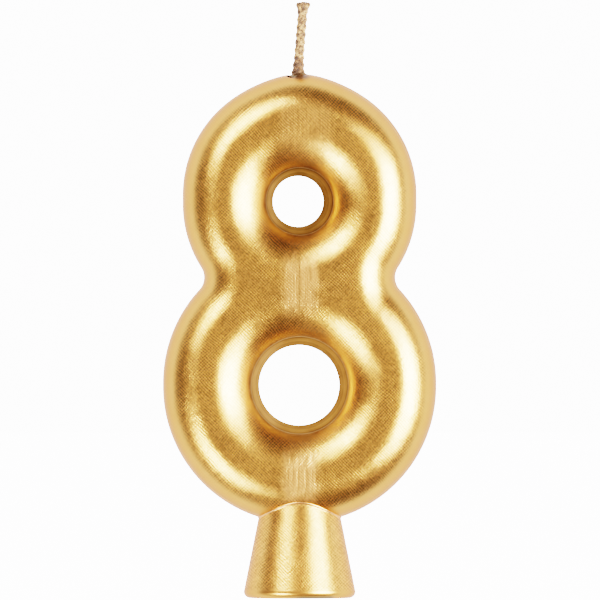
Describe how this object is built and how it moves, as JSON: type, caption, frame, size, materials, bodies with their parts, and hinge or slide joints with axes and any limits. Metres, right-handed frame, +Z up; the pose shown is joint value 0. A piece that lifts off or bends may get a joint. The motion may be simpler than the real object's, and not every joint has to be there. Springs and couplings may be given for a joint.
{
  "type": "numeral birthday candle",
  "caption": "Upright candle cast as a puffy figure 8 on a flared round foot, with a braided wick at the top; stands on a cake and burns down.",
  "frame": {"origin": "centre of the foot's flat underside", "axes": "+Z up along the candle, -Y towards the viewer reading the numeral, +X to that viewer's right"},
  "size_m": [0.0378, 0.0154, 0.0824],
  "materials": {
    "gold_skin": "satin",
    "wax": "matte",
    "wick_braid": "matte",
    "wick_core": "matte"
  },
  "bodies": {
    "root": {"wax_figure": "wax", "wax_foot": "wax", "skin_figure": "gold_skin", "skin_foot": "gold_skin", "wick_core": "wick_core", "wick_strand_right_1": "wick_braid", "wick_strand_right_2": "wick_braid", "wick_strand_right_3": "wick_braid", "wick_strand_right_4": "wick_braid", "wick_strand_left_1": "wick_braid", "wick_strand_left_2": "wick_braid", "wick_strand_left_3": "wick_braid", "wick_strand_left_4": "wick_braid"}
  },
  "joints": []
}
